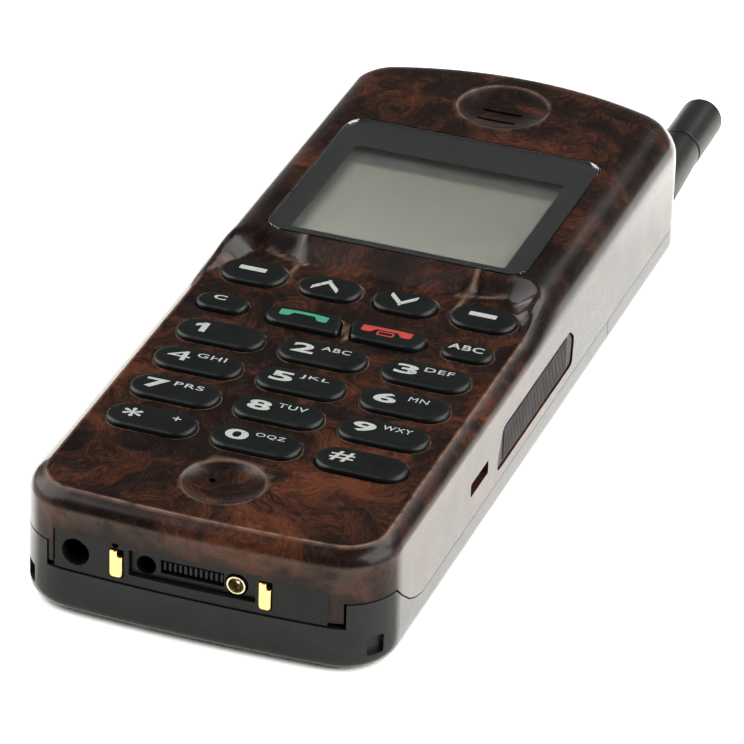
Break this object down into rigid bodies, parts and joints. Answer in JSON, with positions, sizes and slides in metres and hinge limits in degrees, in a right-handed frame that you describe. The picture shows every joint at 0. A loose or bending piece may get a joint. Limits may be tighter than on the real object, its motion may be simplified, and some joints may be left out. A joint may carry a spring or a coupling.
{
  "type": "mobile handset",
  "caption": "Slim one-piece mobile handset: burl-look cover, raised display head, sprung keys, pull-out antenna and a slide-off battery pack that forms the back.",
  "frame": {"origin": "on the flat back, at the middle of the body's width and length (the antenna not counted)", "axes": "+Z out of the front face, +Y towards the earpiece and antenna end, +X to the right as seen from the front"},
  "size_m": [0.056, 0.1666, 0.0227],
  "materials": {
    "burl_cover": "glossy lacquered burl walnut print, lightly scratched",
    "black_housing": "fine-textured black plastic",
    "side_grip": "dark grey ribbed plastic",
    "window_lens": "clear acrylic with a black printed border",
    "lcd": "olive grey liquid crystal display",
    "white_plastic": "plain white plastic",
    "light_guide": "clear acrylic light guide",
    "black_rubber": "soft black rubber",
    "grey_rubber": "grey silicone rubber",
    "circuit_board": "green lacquered circuit board",
    "tinned_steel": "tin-plated steel sheet",
    "chip_plastic": "black moulding compound",
    "speaker_metal": "pressed metal can",
    "connector_black": "black glass-filled plastic",
    "gold_contact": "gold-plated contact",
    "coax_metal": "dull gold-plated turned metal",
    "antenna_plastic": "satin black plastic",
    "antenna_steel": "drawn spring steel",
    "battery_plastic": "charcoal plastic, fine sparked texture",
    "cell_can": "shrink-wrapped metal cell can",
    "screw_steel": "zinc-plated steel",
    "key_plastic": "satin near-black plastic with pale legends"
  },
  "bodies": {
    "handset": {"front_cover": "burl_cover", "rear_housing": "black_housing", "side_grip_right": "side_grip", "side_grip_left": "side_grip", "display_window": "window_lens", "lcd_panel": "lcd", "lcd_frame": "white_plastic", "light_guide": "light_guide", "lcd_connector_strip": "black_rubber", "keypad_mat": "grey_rubber", "main_board": "circuit_board", "rf_shield": "tinned_steel", "logic_shield": "tinned_steel", "board_chips": "chip_plastic", "earpiece_speaker": "speaker_metal", "speaker_gasket": "black_rubber", "microphone": "speaker_metal", "microphone_boot": "black_rubber", "ringer": "chip_plastic", "connector_plate": "connector_black", "system_connector": "connector_black", "connector_pins": "gold_contact", "coax_socket": "coax_metal", "charge_contacts": "gold_contact", "dc_jack": "connector_black", "dc_jack_pin": "coax_metal", "antenna_collar": "antenna_plastic", "antenna_tube": "white_plastic", "battery_contacts": "gold_contact", "housing_screws": "screw_steel"},
    "soft_key_left_cap": {"soft_key_left": "key_plastic"},
    "soft_key_right_cap": {"soft_key_right": "key_plastic"},
    "up_key_cap": {"up_key": "key_plastic"},
    "down_key_cap": {"down_key": "key_plastic"},
    "clear_key_cap": {"clear_key": "key_plastic"},
    "letters_key_cap": {"letters_key": "key_plastic"},
    "call_key_cap": {"call_key": "key_plastic"},
    "end_key_cap": {"end_key": "key_plastic"},
    "key_one_cap": {"key_one": "key_plastic"},
    "key_two_cap": {"key_two": "key_plastic"},
    "key_three_cap": {"key_three": "key_plastic"},
    "key_four_cap": {"key_four": "key_plastic"},
    "key_five_cap": {"key_five": "key_plastic"},
    "key_six_cap": {"key_six": "key_plastic"},
    "key_seven_cap": {"key_seven": "key_plastic"},
    "key_eight_cap": {"key_eight": "key_plastic"},
    "key_nine_cap": {"key_nine": "key_plastic"},
    "key_star_cap": {"key_star": "key_plastic"},
    "key_zero_cap": {"key_zero": "key_plastic"},
    "key_hash_cap": {"key_hash": "key_plastic"},
    "antenna": {"antenna_cap": "antenna_plastic", "antenna_rod": "antenna_steel"},
    "battery_pack": {"battery_case": "battery_plastic", "battery_lid": "battery_plastic", "battery_cells": "cell_can", "battery_terminals": "gold_contact"},
    "latch": {"battery_latch": "battery_plastic"}
  },
  "joints": [
    {"name": "soft_key_left_press", "type": "slide", "parent": "handset", "child": "soft_key_left_cap", "axis": [0, 0, -1], "range_m": [0, 0.0008], "stiffness_N_per_m": 800},
    {"name": "soft_key_right_press", "type": "slide", "parent": "handset", "child": "soft_key_right_cap", "axis": [0, 0, -1], "range_m": [0, 0.0008], "stiffness_N_per_m": 800},
    {"name": "up_key_press", "type": "slide", "parent": "handset", "child": "up_key_cap", "axis": [0, 0, -1], "range_m": [0, 0.0008], "stiffness_N_per_m": 800},
    {"name": "down_key_press", "type": "slide", "parent": "handset", "child": "down_key_cap", "axis": [0, 0, -1], "range_m": [0, 0.0008], "stiffness_N_per_m": 800},
    {"name": "clear_key_press", "type": "slide", "parent": "handset", "child": "clear_key_cap", "axis": [0, 0, -1], "range_m": [0, 0.0008], "stiffness_N_per_m": 800},
    {"name": "letters_key_press", "type": "slide", "parent": "handset", "child": "letters_key_cap", "axis": [0, 0, -1], "range_m": [0, 0.0008], "stiffness_N_per_m": 800},
    {"name": "call_key_press", "type": "slide", "parent": "handset", "child": "call_key_cap", "axis": [0, 0, -1], "range_m": [0, 0.0008], "stiffness_N_per_m": 800},
    {"name": "end_key_press", "type": "slide", "parent": "handset", "child": "end_key_cap", "axis": [0, 0, -1], "range_m": [0, 0.0008], "stiffness_N_per_m": 800},
    {"name": "key_one_press", "type": "slide", "parent": "handset", "child": "key_one_cap", "axis": [0, 0, -1], "range_m": [0, 0.0008], "stiffness_N_per_m": 800},
    {"name": "key_two_press", "type": "slide", "parent": "handset", "child": "key_two_cap", "axis": [0, 0, -1], "range_m": [0, 0.0008], "stiffness_N_per_m": 800},
    {"name": "key_three_press", "type": "slide", "parent": "handset", "child": "key_three_cap", "axis": [0, 0, -1], "range_m": [0, 0.0008], "stiffness_N_per_m": 800},
    {"name": "key_four_press", "type": "slide", "parent": "handset", "child": "key_four_cap", "axis": [0, 0, -1], "range_m": [0, 0.0008], "stiffness_N_per_m": 800},
    {"name": "key_five_press", "type": "slide", "parent": "handset", "child": "key_five_cap", "axis": [0, 0, -1], "range_m": [0, 0.0008], "stiffness_N_per_m": 800},
    {"name": "key_six_press", "type": "slide", "parent": "handset", "child": "key_six_cap", "axis": [0, 0, -1], "range_m": [0, 0.0008], "stiffness_N_per_m": 800},
    {"name": "key_seven_press", "type": "slide", "parent": "handset", "child": "key_seven_cap", "axis": [0, 0, -1], "range_m": [0, 0.0008], "stiffness_N_per_m": 800},
    {"name": "key_eight_press", "type": "slide", "parent": "handset", "child": "key_eight_cap", "axis": [0, 0, -1], "range_m": [0, 0.0008], "stiffness_N_per_m": 800},
    {"name": "key_nine_press", "type": "slide", "parent": "handset", "child": "key_nine_cap", "axis": [0, 0, -1], "range_m": [0, 0.0008], "stiffness_N_per_m": 800},
    {"name": "key_star_press", "type": "slide", "parent": "handset", "child": "key_star_cap", "axis": [0, 0, -1], "range_m": [0, 0.0008], "stiffness_N_per_m": 800},
    {"name": "key_zero_press", "type": "slide", "parent": "handset", "child": "key_zero_cap", "axis": [0, 0, -1], "range_m": [0, 0.0008], "stiffness_N_per_m": 800},
    {"name": "key_hash_press", "type": "slide", "parent": "handset", "child": "key_hash_cap", "axis": [0, 0, -1], "range_m": [0, 0.0008], "stiffness_N_per_m": 800},
    {"name": "antenna_pull", "type": "slide", "parent": "handset", "child": "antenna", "axis": [0, 1, 0], "range_m": [0, 0.082]},
    {"name": "battery_slide", "type": "slide", "parent": "handset", "child": "battery_pack", "axis": [0, -1, 0], "range_m": [0, 0.035]},
    {"name": "latch_slide", "type": "slide", "parent": "handset", "child": "latch", "axis": [0, 1, 0], "range_m": [0, 0.002], "stiffness_N_per_m": 500}
  ]
}
